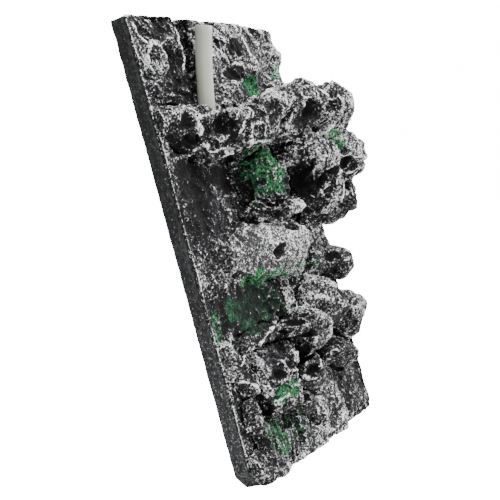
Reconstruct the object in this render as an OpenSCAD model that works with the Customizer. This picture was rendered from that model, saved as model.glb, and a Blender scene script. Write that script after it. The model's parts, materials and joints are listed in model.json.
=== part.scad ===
// Rock backdrop with a water ledge, caves and a small circulation pump.
// The board's base centre is the origin, +Z is up and the rock faces -Y.

/* [Board] */
// Width of the backdrop, to suit a 300 mm wide tank
board_w = 290; // [285:1:300]
// Height of the backdrop, to suit a 450 mm tall tank
board_h = 440; // [436:1:446]
// Thickness of the backing board
board_t = 16; // [15:0.5:18]
// Least thickness of rock facing on the board
skin_t = 2; // [1.5:0.5:3]
// Chamfer of the board's broken bottom left corner
corner_cut = 14; // [8:1:20]

/* [Channel and pump pocket] */
// Centre of the hose channel across the board
channel_x = -72; // [-74:1:-70]
// Width of the channel
channel_w = 22; // [20:1:23]
// Depth of the channel in the board
channel_depth = 11; // [10.5:0.5:12]
// Width of the pump pocket
pocket_w = 52; // [50:1:54]
// Bottom of the pump pocket
pocket_z0 = 58; // [56:1:60]
// Top of the pump pocket
pocket_z1 = 112; // [110:1:114]
// Depth of the pocket in front of the facing's plane
pocket_d = 12; // [10:0.5:13]

/* [Ledge] */
// Floor of the pool in the ledge
pool_floor_z = 331; // [329:1:334]
// Height of the spill notch over the pool floor
spill_h = 8; // [6:1:10]

/* [Hose] */
// Outside diameter of the silicone hose
hose_od = 16; // [15.5:0.5:16.5]
// Inside diameter of the silicone hose
hose_id = 12; // [12:0.5:13]
// Slope of the hose inside the ledge, in degrees
hose_slope = 24; // [22:1:25]
// Slope of the hose where it leaves the ledge
hose_lean0 = 11; // [9:1:12]
// Slope of the hose at its open end
hose_lean1 = 19; // [18:1:20]
// Radius of the hose's free upper stretch
hose_lean_r = 544; // [530:2:560]

/* [Pump] */
// Width of the pump housing
pump_w = 40; // [38:1:42]
// Height of the pump housing
pump_h = 36; // [34:1:36]
// Radius of the magnet rotor
rotor_r = 8; // [7:0.5:8.5]
// Diameter of the ceramic shaft
shaft_d = 3; // [2.5:0.5:4]
// Number of impeller blades
blade_count = 6; // [4:1:8]

/* [Hidden] */
$fn = 48;
eps = 0.01;
face_y = board_t / 2 + skin_t;      // the facing's plane is y = -face_y
depth_max = 125;                    // further than any rock reaches
fit_gap = 0.4;                      // gap round the lift-off rock
seat_gap = 0.2;                     // gap behind it
bush_gap = 0.05;                    // running clearance of the rotor on its shaft

// The boulders. Each row is a name and its lumps, and a lump is its centre [x, d, z], half sizes
// [x, d, z] and seed. d is the distance in front of the facing's plane. A boulder is the hull of its lumps.
// An earlier boulder keeps its shape and a later one is dressed to fit against it. A row that ends in
// "ribs" keeps its lumps apart.
STONES = [
    ["pump_cover_rock", [[[-88, 4, 99], [19, 19, 20], 21], [[-62, 6, 94], [24, 30, 25], 51],
        [[-82, 6, 73], [25, 26, 22], 52]]],
    ["ledge_tip_rock", [[[80, 58, 335], [30, 44, 23], 2], [[104, 56, 328], [28, 40, 24], 3],
        [[84, 50, 316], [24, 36, 20], 53]]],
    ["ledge_right_rock", [[[8, 42, 337], [34, 46, 23], 5], [[44, 48, 338], [34, 46, 22], 6],
        [[30, 40, 316], [36, 32, 20], 54]]],
    ["ledge_centre_rock", [[[-52, 26, 326], [26, 36, 28], 7], [[-22, 34, 330], [28, 40, 28], 8],
        [[-36, 22, 310], [26, 28, 20], 55]]],
    ["ledge_spout_rock", [[[-94, 12, 326], [20, 22, 27], 9], [[-76, 22, 326], [20, 32, 26], 10],
        [[-84, 12, 308], [22, 18, 18], 56]]],
    ["ledge_left_wing", [[[-128, 2, 337], [26, 14, 22], 11], [[-108, 6, 332], [20, 18, 24], 12],
        [[-104, 5, 312], [16, 14, 16], 57]]],
    ["cave_pillar_rock", [[[38, 40, 284], [28, 48, 34], 13], [[62, 32, 250], [28, 40, 34], 14]]],
    ["upper_right_column", [[[120, 40, 280], [34, 50, 34], 16], [[94, 46, 294], [24, 40, 22], 17]]],
    ["lower_right_column", [[[118, 24, 236], [34, 46, 26], 18], [[92, 20, 240], [20, 40, 24], 58]]],
    ["moss_back_rock", [[[-20, 10, 292], [32, 34, 26], 19], [[0, 16, 262], [32, 34, 30], 20]]],
    ["moss_lower_rock", [[[-32, 4, 246], [32, 20, 18], 59], [[8, 14, 242], [34, 34, 24], 60]]],
    ["slide_boulder", [[[-92, 0, 212], [30, 14, 30], 77], [[-58, 0, 208], [40, 25, 36], 22],
        [[-10, 8, 206], [50, 40, 38], 23], [[28, 2, 200], [30, 38, 34], 61]]],
    ["slide_side_rock", [[[60, 6, 208], [24, 30, 28], 24], [[72, 4, 180], [26, 27, 26], 62]]],
    ["middle_right_boulder", [[[121, 12, 171], [32, 33, 22], 25], [[106, 8, 176], [22, 26, 18], 63]]],
    ["lower_round_boulder", [[[-34, 12, 110], [38, 42, 26], 26], [[-12, 16, 114], [26, 38, 23], 64]]],
    ["lower_centre_boulder", [[[38, 16, 138], [32, 36, 29], 27], [[64, 13, 128], [28, 35, 30], 65]]],
    ["lower_right_boulder", [[[115, 6, 116], [34, 34, 29], 28], [[121, 3, 98], [26, 28, 20], 66]]],
    ["split_pebble", [[[56, 14, 84], [24, 26, 16], 29], [[88, 9, 70], [26, 23, 15], 67]]],
    ["wedge_rock", [[[-22, 16, 82], [22, 26, 20], 30], [[-4, 12, 68], [16, 18, 14], 68]]],
    ["arch_lip_rock", [[[-60, 10, 60], [24, 22, 11], 31], [[-34, 8, 48], [22, 20, 13], 69]]],
    ["arch_left_pier", [[[-120, 2, 62], [18, 12, 22], 32], [[-112, 2, 36], [14, 12, 24], 70]]],
    ["base_corner_rock", [[[-126, 3, 16], [30, 15, 22], 33], [[-106, 4, 8], [18, 15, 16], 34]]],
    ["flowstone_curtain", [for (k = [0:4]) [[-95 + 9 * k, 2, 28 - k], [7, 9, 27], 90 + k]], "ribs"],
    ["curtain_side_rock", [[[-42, 2, 36], [15, 14, 22], 35], [[-36, 2, 12], [20, 12, 18], 71]]],
    ["cave_sill_rock", [[[-104, 2, 124], [26, 13, 13], 37], [[-66, 6, 126], [24, 20, 14], 72]]],
    ["lower_left_rubble", [[[-124, 1, 112], [22, 11, 22], 36], [[-114, 2, 90], [18, 12, 20], 73]]],
    ["upper_left_boss", [[[-120, 3, 399], [14, 9, 18], 74]]],
    ["base_right_rubble", [[[6, 2, 34], [30, 12, 24], 75], [[52, 1, 26], [32, 10, 22], 76]]]
];

// Hollows scooped out of the boulders, as lumps.
SCOOPS = [
    [[-90, 44, 328], [14, 22, 17], 81],
    [[20, 88, 324], [26, 22, 16], 82],
    [[25, 62, 268], [7, 34, 22], 83],
    [[76, 74, 286], [13, 26, 15], 84],
    [[92, 60, 252], [10, 24, 12], 85]
];

// The thin rock facings. Each row is a name, its area [x0, x1, z0, z1], its depth at the left edge,
// middle and right edge, its roughness and its seed.
ledge_z = 338;                       // where the facings meet behind the ledge
cave_z = 134;                        // and where they meet at the low cave's floor
FACINGS = [
    ["upper_left_facing", [-board_w / 2, channel_x - channel_w / 2, ledge_z, board_h], [1, 8, 14], 3, 41],
    ["upper_right_facing", [channel_x + channel_w / 2, board_w / 2, ledge_z, board_h], [14, 17, 2], 5, 42],
    ["left_wall_facing", [-board_w / 2, -52, cave_z, ledge_z], [1, 8, 12], 2.5, 43],
    ["cave_back_facing", [-52, board_w / 2, cave_z, ledge_z], [9, 9, 3], 3, 44],
    ["lower_left_facing", [-board_w / 2, channel_x + 7.5, 0, cave_z], [1, 6, 8], 2.5, 45],
    ["lower_right_facing", [channel_x + 7.5, board_w / 2, 0, cave_z], [6, 7, 3], 3, 46]
];

// A point given as across, distance in front of the facing's plane and height.
function at(p) = [p.x, -face_y - p.y, p.z];

// ---- rock forms ----

// Directions spread evenly over a sphere.
golden_turn = 137.508;
lump_points = 30;
lump_least = 0.80;
function spread(i, n) =
    let (z = 1 - (2 * i + 1) / n, r = sqrt(1 - z * z), a = i * golden_turn) [r * cos(a), r * sin(a), z];

// One craggy convex lump, grown by extra on every side.
module lump(l, extra = 0) {
    size = l[1] + [extra, extra, extra];
    reach = rands(lump_least, 1, lump_points, l[2]);
    points = [for (i = [0:lump_points - 1]) let (p = spread(i, lump_points) * reach[i])
        [p.x * size.x, -p.y * size.y, p.z * size.z]];
    some_faces = [for (i = [0:lump_points - 3]) [i, i + 1, i + 2]];
    translate(at(l[0])) hull() polyhedron(points = points, faces = some_faces);
}

// A whole boulder before it is dressed.
module boulder(s) {
    if (len(s) > 2) for (l = s[1]) lump(l); else hull() for (l = s[1]) lump(l);
}

// The lowest and highest corner of a boulder's lumps, and whether two boulders can touch.
function low(s) = [for (k = [0:2]) min([for (l = s[1]) l[0][k] - l[1][k]])];
function high(s) = [for (k = [0:2]) max([for (l = s[1]) l[0][k] + l[1][k]])];
function meets(a, b) = len([for (k = [0:2]) if (low(a)[k] < high(b)[k] && low(b)[k] < high(a)[k]) k]) == 3;
function in_area(s, r) = low(s).x < r[1] && high(s).x > r[0] && low(s).z < r[3] && high(s).z > r[2];

// The space in front of depth d that rock may fill.
module rock_space(d) {
    difference() {
        block([-board_w / 2, d, 0], [board_w / 2, depth_max, board_h]);
        broken_corner();
    }
}

// The chip missing from the bottom left corner.
module broken_corner() {
    translate([-board_w / 2, 0, 0]) rotate([0, 45, 0])
        cube([corner_cut * sqrt(2), 3 * depth_max, corner_cut * sqrt(2)], center = true);
}

// The lift-off rock covers the pocket and laps over its edges. With travel, it is the rock with the space
// it moves through, so that nothing overhangs it.
cover_half_w = 34;
cover_lap = 5;
module cover_form(extra = 0, travel = 0) {
    hull() for (y = travel > 0 ? [0, -travel] : [0]) translate([0, y, 0]) {
        for (l = STONES[0][1]) lump(l, extra);
        block([channel_x - cover_half_w - extra, 0, pocket_z0 - cover_lap - extra],
            [channel_x + cover_half_w + extra, pocket_d + 2, pocket_z1 + cover_lap + extra]);
    }
}

// A box between two corners given as across, depth and height.
module block(low, high) {
    translate([low.x, -face_y - high.y, low.z]) cube([high.x - low.x, high.y - low.y, high.z - low.z]);
}

// ---- hollows ----

// The recess for the pump, through the board and into the lift-off rock, with its water inlet below and
// room for the hose above.
module pump_pocket() {
    block([channel_x - pocket_w / 2, -skin_t - board_t - 1, pocket_z0],
        [channel_x + pocket_w / 2, pocket_d, pocket_z1]);
    block([channel_x - 12, 0, pocket_z0 - 24], [channel_x + 12, pocket_d - 1, pocket_z0 + 1]);
    block([channel_x - 9, 0, pocket_z1 - 1], [channel_x + 9, pocket_d - 2.5, pocket_z1 + 14]);
}

// The pool in the top of the ledge, and the notch that it spills through.
module pool() {
    hull() {
        block([-44, 19, pool_floor_z], [60, 46, pool_floor_z + 32]);
        block([-54, 18, pool_floor_z + 14], [76, 56, pool_floor_z + 32]);
    }
    hull() {
        block([-50, 20, pool_floor_z + spill_h], [-40, 34, pool_floor_z + 32]);
        block([-104, 30, pool_floor_z + spill_h], [-76, 70, pool_floor_z + 32]);
    }
}

// The cave behind the falling water and the low cave under the slide.
module caves() {
    hull() {
        block([-66, 6.5, 258], [-30, 14, 290]);
        block([-100, 10, 250], [-44, 50, 298]);
    }
    hull() {
        block([-124, 6.5, 142], [-8, 8, 170]);
        block([-150, 9, 134], [-14, 60, 178]);
    }
}

// The niche at the foot, which the flowstone curtain stands in.
module niche() {
    hull() {
        block([-99, 1, 8], [-54, 6, 48]);
        block([-104, 12, 4], [-50, 40, 56]);
    }
}

// ---- hose ----

hose_sides = 16;
spigot_top_z = 116;
hose_z0 = 101.5;
hose_d0 = -4;                        // the hose's depth in the channel
bend_z0 = 282;
bend_r = 80;

// The line after turning from slope a to slope b over n steps, from point p = [d, z, slope].
function turned(p, b, r, n) = let (s = sign(b - p[2]) * r)
    [for (i = [1:n]) let (a = p[2] + (b - p[2]) * i / n)
        [p[0] + s * (cos(p[2]) - cos(a)), p[1] + s * (sin(a) - sin(p[2])), a]];
function last(list) = list[len(list) - 1];

// The hose's centreline: straight in the channel, forward into the ledge, then leaning out of it.
hose_rise = [for (z = [hose_z0, 140, 180, 220, bend_z0]) [hose_d0, z, 0]];
hose_out = turned(last(hose_rise), hose_slope, bend_r, 6);
hose_slant = [[last(hose_out)[0] + 16 * tan(hose_slope), last(hose_out)[1] + 16, hose_slope]];
hose_back = turned(hose_slant[0], hose_lean0, bend_r, 4);
hose_free = turned(last(hose_back), hose_lean1, hose_lean_r, 8);
hose_line = concat(hose_rise, hose_out, hose_slant, hose_back, hose_free);

// A ring of points round the hose's centreline, of radius r.
function ring(p, r) = [for (k = [0:hose_sides - 1]) let (a = k * 360 / hose_sides)
    at([channel_x + r * cos(a), p[0] + r * sin(a) * cos(p[2]), p[1] - r * sin(a) * sin(p[2])])];

// A tube along the line, solid when inner is 0.
module sweep(line, outer, inner) {
    n = len(line);
    m = hose_sides;
    walls = inner > 0 ? [outer, inner] : [outer];
    points = [for (r = walls) for (p = line) each ring(p, r)];
    function v(w, i, k) = (w * n + i) * m + (k % m);
    side = [for (w = [0:len(walls) - 1]) for (i = [0:n - 2]) for (k = [0:m - 1])
        w == 0 ? [v(w, i, k), v(w, i, k + 1), v(w, i + 1, k + 1), v(w, i + 1, k)]
               : [v(w, i + 1, k), v(w, i + 1, k + 1), v(w, i, k + 1), v(w, i, k)]];
    ends = inner > 0
        ? [for (k = [0:m - 1]) each [[v(0, 0, k + 1), v(0, 0, k), v(1, 0, k), v(1, 0, k + 1)],
            [v(0, n - 1, k), v(0, n - 1, k + 1), v(1, n - 1, k + 1), v(1, n - 1, k)]]]
        : [[for (k = [m - 1:-1:0]) v(0, 0, k)], [for (k = [0:m - 1]) v(0, n - 1, k)]];
    polyhedron(points = points, faces = concat(side, ends), convexity = 6);
}

// The way that the rock leaves for the hose.
module hose_way() {
    sweep(hose_line, hose_od / 2 + 0.8, 0);
}

module riser_hose() {
    color([0.72, 0.73, 0.70]) sweep(hose_line, hose_od / 2, hose_id / 2);
}

// ---- rock nodes ----

// The boulder of this name, dressed against the board, the earlier boulders and the hollows.
module stone(name) {
    i = search([name], STONES)[0];
    color([0.16, 0.16, 0.17]) difference() {
        intersection() {
            if (i == 0) cover_form(); else boulder(STONES[i]);
            rock_space(i == 0 ? seat_gap : 0);
        }
        for (j = [0:1:i - 1]) if (meets(STONES[j], STONES[i]))
            if (j == 0) cover_form(fit_gap, depth_max); else boulder(STONES[j]);
        for (l = SCOOPS) if (meets(["", [l]], STONES[i])) lump(l);
        pump_pocket();
        if (i == 0) for (x = [-1, 1]) peg(x, peg_r + peg_gap, peg_out + 2); else {
            hose_way();
            pool();
            caves();
        }
        if (i > 0 && len(STONES[i]) < 3) niche();
    }
}

// The two pegs in the facing that the lift-off rock slides on.
peg_x = 30.5;                        // from the channel's centre
peg_z = 85;
peg_r = 1.5;
peg_gap = 0.08;
peg_out = 12;
peg_root = 8;                        // how far they are set into the facing and board
module peg(side, r, length) {
    translate(at([channel_x + peg_x * side, -peg_root, peg_z])) rotate([90, 0, 0])
        cylinder(r = r, h = length + peg_root);
}
module cover_pegs() {
    color([0.2, 0.2, 0.2]) for (x = [-1, 1]) peg(x, peg_r, peg_out);
}

facing_cols = 9;
facing_rows = 7;

// The facing of this name, a rough slab on the board dressed against every boulder and the hollows.
module facing(name) {
    f = FACINGS[search([name], FACINGS)[0]];
    area = f[1];
    n = facing_cols;
    m = facing_rows;
    rough = rands(-1, 1, (n + 1) * (m + 1), f[4]);
    points = concat(
        [for (j = [0:m]) for (i = [0:n])
            let (u = i / n, left = max(0, 1 - 2 * u), right = max(0, 2 * u - 1),
                bump = f[3] * rough[j * (n + 1) + i] * ((i == 0 || i == n) ? 0.3 : 1),
                d = f[2].x * left + f[2].y * (1 - left - right) + f[2].z * right + bump)
            at([area[0] + (area[1] - area[0]) * u, max(d, 0.3), area[2] + (area[3] - area[2]) * j / m])],
        [for (j = [0, m]) for (i = [0, n])
            at([area[0] + (area[1] - area[0]) * i / n, -skin_t, area[2] + (area[3] - area[2]) * j / m])]
    );
    back = (n + 1) * (m + 1);
    function g(i, j) = j * (n + 1) + i;
    front_faces = [for (j = [0:m - 1]) for (i = [0:n - 1])
        each [[g(i, j), g(i, j + 1), g(i + 1, j + 1)], [g(i, j), g(i + 1, j + 1), g(i + 1, j)]]];
    rim_faces = [
        [for (i = [0:n]) g(i, 0), back + 1, back],
        [for (i = [n:-1:0]) g(i, m), back + 2, back + 3],
        [for (j = [m:-1:0]) g(0, j), back, back + 2],
        [for (j = [0:m]) g(n, j), back + 3, back + 1],
        [back, back + 1, back + 3, back + 2]
    ];
    color([0.2, 0.2, 0.21]) difference() {
        intersection() {
            polyhedron(points = points, faces = concat(front_faces, rim_faces));
            rock_space(-skin_t);
        }
        intersection() {
            rock_space(0);
            for (j = [0:len(STONES) - 1]) if (in_area(STONES[j], area))
                if (j == 0) cover_form(fit_gap, depth_max); else boulder(STONES[j]);
        }
        pump_pocket();
        hose_way();
        channel();
        pool();
        caves();
        niche();
        cover_pegs();
    }
}

// ---- board ----

// The channel up the board, open at the top.
module channel() {
    block([channel_x - channel_w / 2, -skin_t - channel_depth, pocket_z1 - 1],
        [channel_x + channel_w / 2, -skin_t + eps, board_h + 1]);
}

module back_board() {
    color([0.12, 0.12, 0.13]) difference() {
        block([-board_w / 2, -skin_t - board_t, 0], [board_w / 2, -skin_t, board_h]);
        pump_pocket();
        channel();
        broken_corner();
        cover_pegs();
    }
}

// ---- pump ----
// The rotor turns about a line along Y through pump_c, and the water leaves upwards by the spigot.

pump_c = [channel_x, 0, 82];
pump_back = -15;                     // depths in front of the facing's plane, as for the rocks
well_back = -13.5;
chamber_back = -6;
chamber_front = 0;
cover_front = 3;
dial_front = 5.2;
chamber_r = 14;
spigot_r = hose_id / 2 - 0.15;
spigot_bore_r = 3.5;
intake_r = 1.9;                      // radius of the intake holes in the cover
intake_slack = 0.2;                  // and how much wider they are in the dial
intake_ring_r = 7.2;
dial_r = 12;
dial_pin_r = 1.5;
gland_d = -9;

// A cylinder along the pump's axis between two depths, which may be moved across and up.
module axial(r, d0, d1, x = 0, z = 0) {
    translate([pump_c.x + x, -face_y - d0, pump_c.z + z]) rotate([90, 0, 0]) cylinder(r = r, h = d1 - d0);
}

module pump_housing() {
    color([0.1, 0.1, 0.11]) difference() {
        union() {
            block([pump_c.x - pump_w / 2, pump_back, pump_c.z - pump_h / 2],
                [pump_c.x + pump_w / 2, chamber_front, pump_c.z + pump_h / 2]);
            translate(at([channel_x, hose_d0, pump_c.z + pump_h / 2 - 1]))
                cylinder(r = spigot_r, h = spigot_top_z - pump_c.z - pump_h / 2 + 1);
        }
        axial(rotor_r + 0.6, well_back, chamber_front + 1);
        axial(chamber_r, chamber_back, chamber_front + 1);
        translate(at([channel_x, hose_d0, pump_c.z + chamber_r - 4])) cylinder(r = spigot_bore_r, h = 40);
        axial(shaft_d / 2, well_back - 1, well_back + 1);
        translate(at([pump_c.x - 14, gland_d, pump_c.z + pump_h / 2 - 4])) cylinder(r = 2.5, h = 5);
    }
}

// The cover closes the chamber, and its spider holds the front end of the shaft.
module pump_front_cover() {
    color([0.13, 0.13, 0.14]) difference() {
        union() {
            block([pump_c.x - pump_w / 2, chamber_front, pump_c.z - pump_h / 2],
                [pump_c.x + pump_w / 2, cover_front, pump_c.z + pump_h / 2 - 1.5]);
            axial(dial_pin_r, cover_front - 1, dial_front + 0.6);
            axial(dial_pin_r + 0.9, dial_front - 0.3, dial_front + 0.6);
        }
        for (a = [30:60:330]) axial(intake_r, chamber_front - 1, cover_front + 1,
            intake_ring_r * cos(a), intake_ring_r * sin(a));
        axial(front_bush_r, chamber_front - 1, chamber_front + 1.5);
    }
}

front_bush_r = 3;
module bush(d0, d1) {
    difference() {
        axial(front_bush_r, d0, d1);
        axial(shaft_d / 2, d0 - 1, d1 + 1);
    }
}
module rear_bush() { color([0.25, 0.25, 0.25]) bush(well_back, well_back + 1.6); }
module front_bush() { color([0.25, 0.25, 0.25]) bush(chamber_front, chamber_front + 1.5); }

module impeller_shaft() {
    color([0.92, 0.92, 0.9]) axial(shaft_d / 2, well_back - 1, chamber_front + 1.5);
}

// The magnet rotor with the blades on its front.
module impeller() {
    color([0.3, 0.3, 0.33]) difference() {
        union() {
            axial(rotor_r, well_back + 2, chamber_back + 0.8);
            axial(rotor_r + 2, chamber_back + 0.5, chamber_back + 1.8);
            for (k = [0:blade_count - 1])
                translate([pump_c.x, -face_y + 1, pump_c.z]) rotate([0, k * 360 / blade_count, 0])
                    translate([2.5, 0, -0.6]) cube([8.5, -chamber_back - 2.4, 1.2]);
            axial(3.2, chamber_back + 0.5, -1);
        }
        axial(shaft_d / 2 + bush_gap, well_back - 1, 1);
    }
}

// The dial turns on the cover's pin and opens or closes the intake holes.
module flow_dial() {
    color([0.35, 0.37, 0.4]) difference() {
        union() {
            axial(dial_r, cover_front + 0.1, dial_front - 0.4);
            for (x = [-1, 1]) axial(1.6, cover_front + 0.1, dial_front, x * (dial_r - 2.2));
        }
        axial(dial_pin_r + bush_gap, cover_front - 1, dial_front + 1);
        for (a = [30:60:330]) axial(intake_r + intake_slack, cover_front - 1, dial_front + 1,
            intake_ring_r * cos(a), intake_ring_r * sin(a));
    }
}

// The gland of the pump's lead, which isn't fitted here.
module cable_gland() {
    color([0.08, 0.08, 0.08]) difference() {
        union() {
            translate(at([pump_c.x - 14, gland_d, pump_c.z + pump_h / 2 - 4])) cylinder(r = 2.5, h = 5);
            translate(at([pump_c.x - 14, gland_d, pump_c.z + pump_h / 2])) cylinder(r1 = 3.4, r2 = 2.6, h = 7);
        }
        translate(at([pump_c.x - 14, gland_d, pump_c.z + pump_h / 2 - 3])) cylinder(r = 1.5, h = 12);
    }
}

// Four cups that hold the pump on the glass behind the board.
module suction_cups() {
    color([0.75, 0.77, 0.78]) for (x = [-1, 1]) for (z = [-1, 1])
        translate([pump_c.x + 13 * x, -face_y - pump_back, pump_c.z + 11 * z]) rotate([-90, 0, 0])
            cylinder(r1 = 3, r2 = 6, h = pump_back + board_t + skin_t);
}

// ---- what is drawn ----

back_board();
riser_hose();
stone("pump_cover_rock");  // pump_cover_rock
stone("ledge_tip_rock");  // ledge_tip_rock
stone("ledge_right_rock");  // ledge_right_rock
stone("ledge_centre_rock");  // ledge_centre_rock
stone("ledge_spout_rock");  // ledge_spout_rock
stone("ledge_left_wing");  // ledge_left_wing
stone("cave_pillar_rock");  // cave_pillar_rock
stone("upper_right_column");  // upper_right_column
stone("lower_right_column");  // lower_right_column
stone("moss_back_rock");  // moss_back_rock
stone("moss_lower_rock");  // moss_lower_rock
stone("slide_boulder");  // slide_boulder
stone("slide_side_rock");  // slide_side_rock
stone("middle_right_boulder");  // middle_right_boulder
stone("lower_round_boulder");  // lower_round_boulder
stone("lower_centre_boulder");  // lower_centre_boulder
stone("lower_right_boulder");  // lower_right_boulder
stone("split_pebble");  // split_pebble
stone("wedge_rock");  // wedge_rock
stone("arch_lip_rock");  // arch_lip_rock
stone("arch_left_pier");  // arch_left_pier
stone("base_corner_rock");  // base_corner_rock
stone("flowstone_curtain");  // flowstone_curtain
stone("curtain_side_rock");  // curtain_side_rock
stone("cave_sill_rock");  // cave_sill_rock
stone("lower_left_rubble");  // lower_left_rubble
stone("upper_left_boss");  // upper_left_boss
stone("base_right_rubble");  // base_right_rubble
facing("upper_left_facing");  // upper_left_facing
facing("upper_right_facing");  // upper_right_facing
facing("left_wall_facing");  // left_wall_facing
facing("cave_back_facing");  // cave_back_facing
facing("lower_left_facing");  // lower_left_facing
facing("lower_right_facing");  // lower_right_facing
cover_pegs();
pump_housing();
pump_front_cover();
impeller();
impeller_shaft();
rear_bush();
front_bush();
flow_dial();
cable_gland();
suction_cups();
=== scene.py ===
"""Looks of the rock backdrop: craggy cast stone with dry-brushed ridges and painted moss, a translucent
silicone hose and a small black pump. Lengths are in metres, in the part's own frame, unless mm is said."""

import itertools
import json
import math

import bmesh
import bpy
import numpy as np
from mathutils import Matrix, Vector
from mathutils.bvhtree import BVHTree


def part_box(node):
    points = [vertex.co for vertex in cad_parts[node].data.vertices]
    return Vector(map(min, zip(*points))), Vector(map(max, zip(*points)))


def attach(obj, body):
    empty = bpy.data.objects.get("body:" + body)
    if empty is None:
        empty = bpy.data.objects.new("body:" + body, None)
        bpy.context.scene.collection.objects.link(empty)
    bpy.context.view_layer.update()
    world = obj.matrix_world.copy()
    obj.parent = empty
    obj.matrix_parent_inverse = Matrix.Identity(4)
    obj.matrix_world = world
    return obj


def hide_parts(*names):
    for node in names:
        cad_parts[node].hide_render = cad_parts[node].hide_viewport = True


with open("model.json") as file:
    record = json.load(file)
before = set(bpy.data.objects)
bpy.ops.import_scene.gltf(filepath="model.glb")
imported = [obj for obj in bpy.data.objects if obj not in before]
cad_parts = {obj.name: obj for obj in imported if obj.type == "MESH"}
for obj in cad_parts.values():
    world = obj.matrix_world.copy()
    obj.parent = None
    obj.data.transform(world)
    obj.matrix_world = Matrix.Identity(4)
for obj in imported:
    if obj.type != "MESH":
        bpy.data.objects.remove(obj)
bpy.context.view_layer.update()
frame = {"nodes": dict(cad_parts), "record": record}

MM = 0.001
NODES = frame["nodes"]
FACE_Y = -0.010                      # the facing's plane, which depths are counted from
BOARD_LOW, BOARD_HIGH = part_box("back_board")
FLOOR_GAP = 0.0002                   # the rock's foot stays this far off the floor

PLAIN_NODES = ["back_board", "riser_hose", "cover_pegs", "pump_housing", "pump_front_cover", "impeller",
               "impeller_shaft", "rear_bush", "front_bush", "flow_dial", "cable_gland", "suction_cups"]
FACINGS = [n for n in sorted(NODES) if n.endswith("_facing")]
ROCKS = [n for n in sorted(NODES) if n not in PLAIN_NODES and n not in FACINGS]

# Painted zones: centre [across, depth, height] and radii in mm, and strength. Depth is counted out from
# the facing's plane. Many centres here and in POCKETS and SWELLS began as points picked in the photo and
# cast onto the CAD rock by another program. They were rounded, and some were moved. The radii and strengths
# were chosen one by one.
MOSS = [
    ([42, 12, 372], [26, 16, 14], 1.3),      # on the facing over the ledge
    ([122, 3, 390], [16, 14, 18], 1.2),
    ([-26, 34, 276], [50, 32, 38], 1.0),     # under the ledge
    ([80, 68, 298], [13, 22, 18], 1.5),      # on the upper right column
    ([-46, 14, 179], [54, 22, 8], 1.2),      # along the slide's lip
    ([2, 24, 178], [18, 20, 8], 1.0),
    ([60, 22, 182], [16, 20, 13], 0.8),
    ([-104, 6, 156], [24, 14, 18], 0.8),     # in the low cave
    ([-50, 8, 154], [56, 14, 26], 0.8),
    ([-84, 8, 138], [26, 14, 10], 1.0),
    ([-4, 8, 142], [18, 10, 10], 0.6),
    ([-135, 1, 148], [10, 10, 24], 1.0),     # down the left edge
    ([-78, 26, 71], [30, 20, 11], 1.1),      # on the lift-off rock's lower lip
    ([-112, 12, 42], [12, 16, 18], 0.9),     # in the foot niche
    ([-90, 8, 28], [18, 14, 26], 1.0),
    ([-48, 12, 30], [12, 16, 28], 0.8),
    ([-70, 10, 38], [40, 22, 26], 0.55),
]
# Painted shade: these zones are painted darker where shade falls, in the caves, hollows, slit, channel and
# low cave, under the slide's lip and on the wall turned from the light. This is partly the resin's own
# black where the brush doesn't reach, and the brush is kept off them.
PAINTED_SHADE_ZONES = [
    ([-72, 10, 280], [42, 20, 21], 1.0),     # the cave behind the falling water
    ([-80, 40, 321], [22, 24, 15], 0.7),     # the hollow in the ledge's left end
    ([20, 72, 323], [28, 20, 15], 0.8),      # the hollow in the ledge's right end
    ([24, 46, 262], [14, 26, 28], 1.0),      # the slit beside the pillar
    ([-34, 7, 150], [30, 14, 22], 0.9),      # the low cave
    ([-80, 8, 152], [60, 20, 28], 0.6),
    ([-58, 12, 166], [62, 18, 13], 1.0),     # and the shade under the slide's lip
    ([-118, 6, 328], [22, 16, 20], 0.45),    # the ledge's left wing
    ([-110, 4, 385], [44, 16, 70], 0.2),     # the upper left facing
    ([-70, 8, 40], [70, 18, 40], 0.2),       # the foot niche
    ([-76, -4, 394], [15, 18, 60], 1.0),     # the channel
    ([-112, 4, 262], [46, 16, 70], 0.55),    # the left wall, away from the light
    ([-40, 4, 344], [30, 12, 12], 0.6),
]
PALE = [
    ([-36, 24, 206], [66, 44, 34], 1.0),     # the slide, brushed paler
    ([20, 40, 226], [30, 30, 20], 0.6),
]
# Pockets pressed into the rock and painted with shade: centre, radii and depth, in mm.
POCKETS = [
    ([-74, 30, 350], [18, 22, 9], 5),        # where the hose leaves the ledge
    ([-121, 14, 334], [11, 16, 9], 6),       # in the ledge's left wing
    ([-116, 14, 316], [12, 14, 7], 5),
    ([-36, 34, 199], [9, 16, 10], 7),
    ([-10, 40, 219], [10, 16, 6], 5),
    ([37, 62, 256], [7, 14, 10], 7),
    ([46, 70, 263], [8, 14, 7], 6),
    ([96, 68, 272], [8, 14, 9], 6),
    ([112, 58, 248], [8, 14, 8], 5),
    ([95, 30, 178], [10, 16, 8], 6),
    ([120, 26, 174], [9, 16, 7], 5),
    ([-40, 28, 131], [7, 16, 7], 5),         # pits in the round boulder
    ([-28, 38, 130], [5, 14, 4], 4),
    ([-37, 46, 114], [7, 16, 6], 5),
    ([-54, 20, 124], [5, 12, 5], 4),
    ([-40, 24, 98], [7, 14, 9], 5),          # around the wedge rock
    ([-32, 32, 80], [7, 14, 7], 5),
    ([-84, 26, 89], [8, 14, 6], 5),
    ([2, 8, 52], [11, 14, 8], 6),
    ([-106, 8, 62], [9, 14, 8], 5),
    ([46, 46, 144], [10, 16, 12], 5),
    ([4, 64, 296], [12, 16, 7], 4),
    ([12, 18, 410], [20, 16, 9], 5),         # hollows in the facing beside the hose
    ([4, 16, 382], [22, 16, 8], 4),
    ([-24, 18, 412], [6, 14, 8], 4),
]
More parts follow.
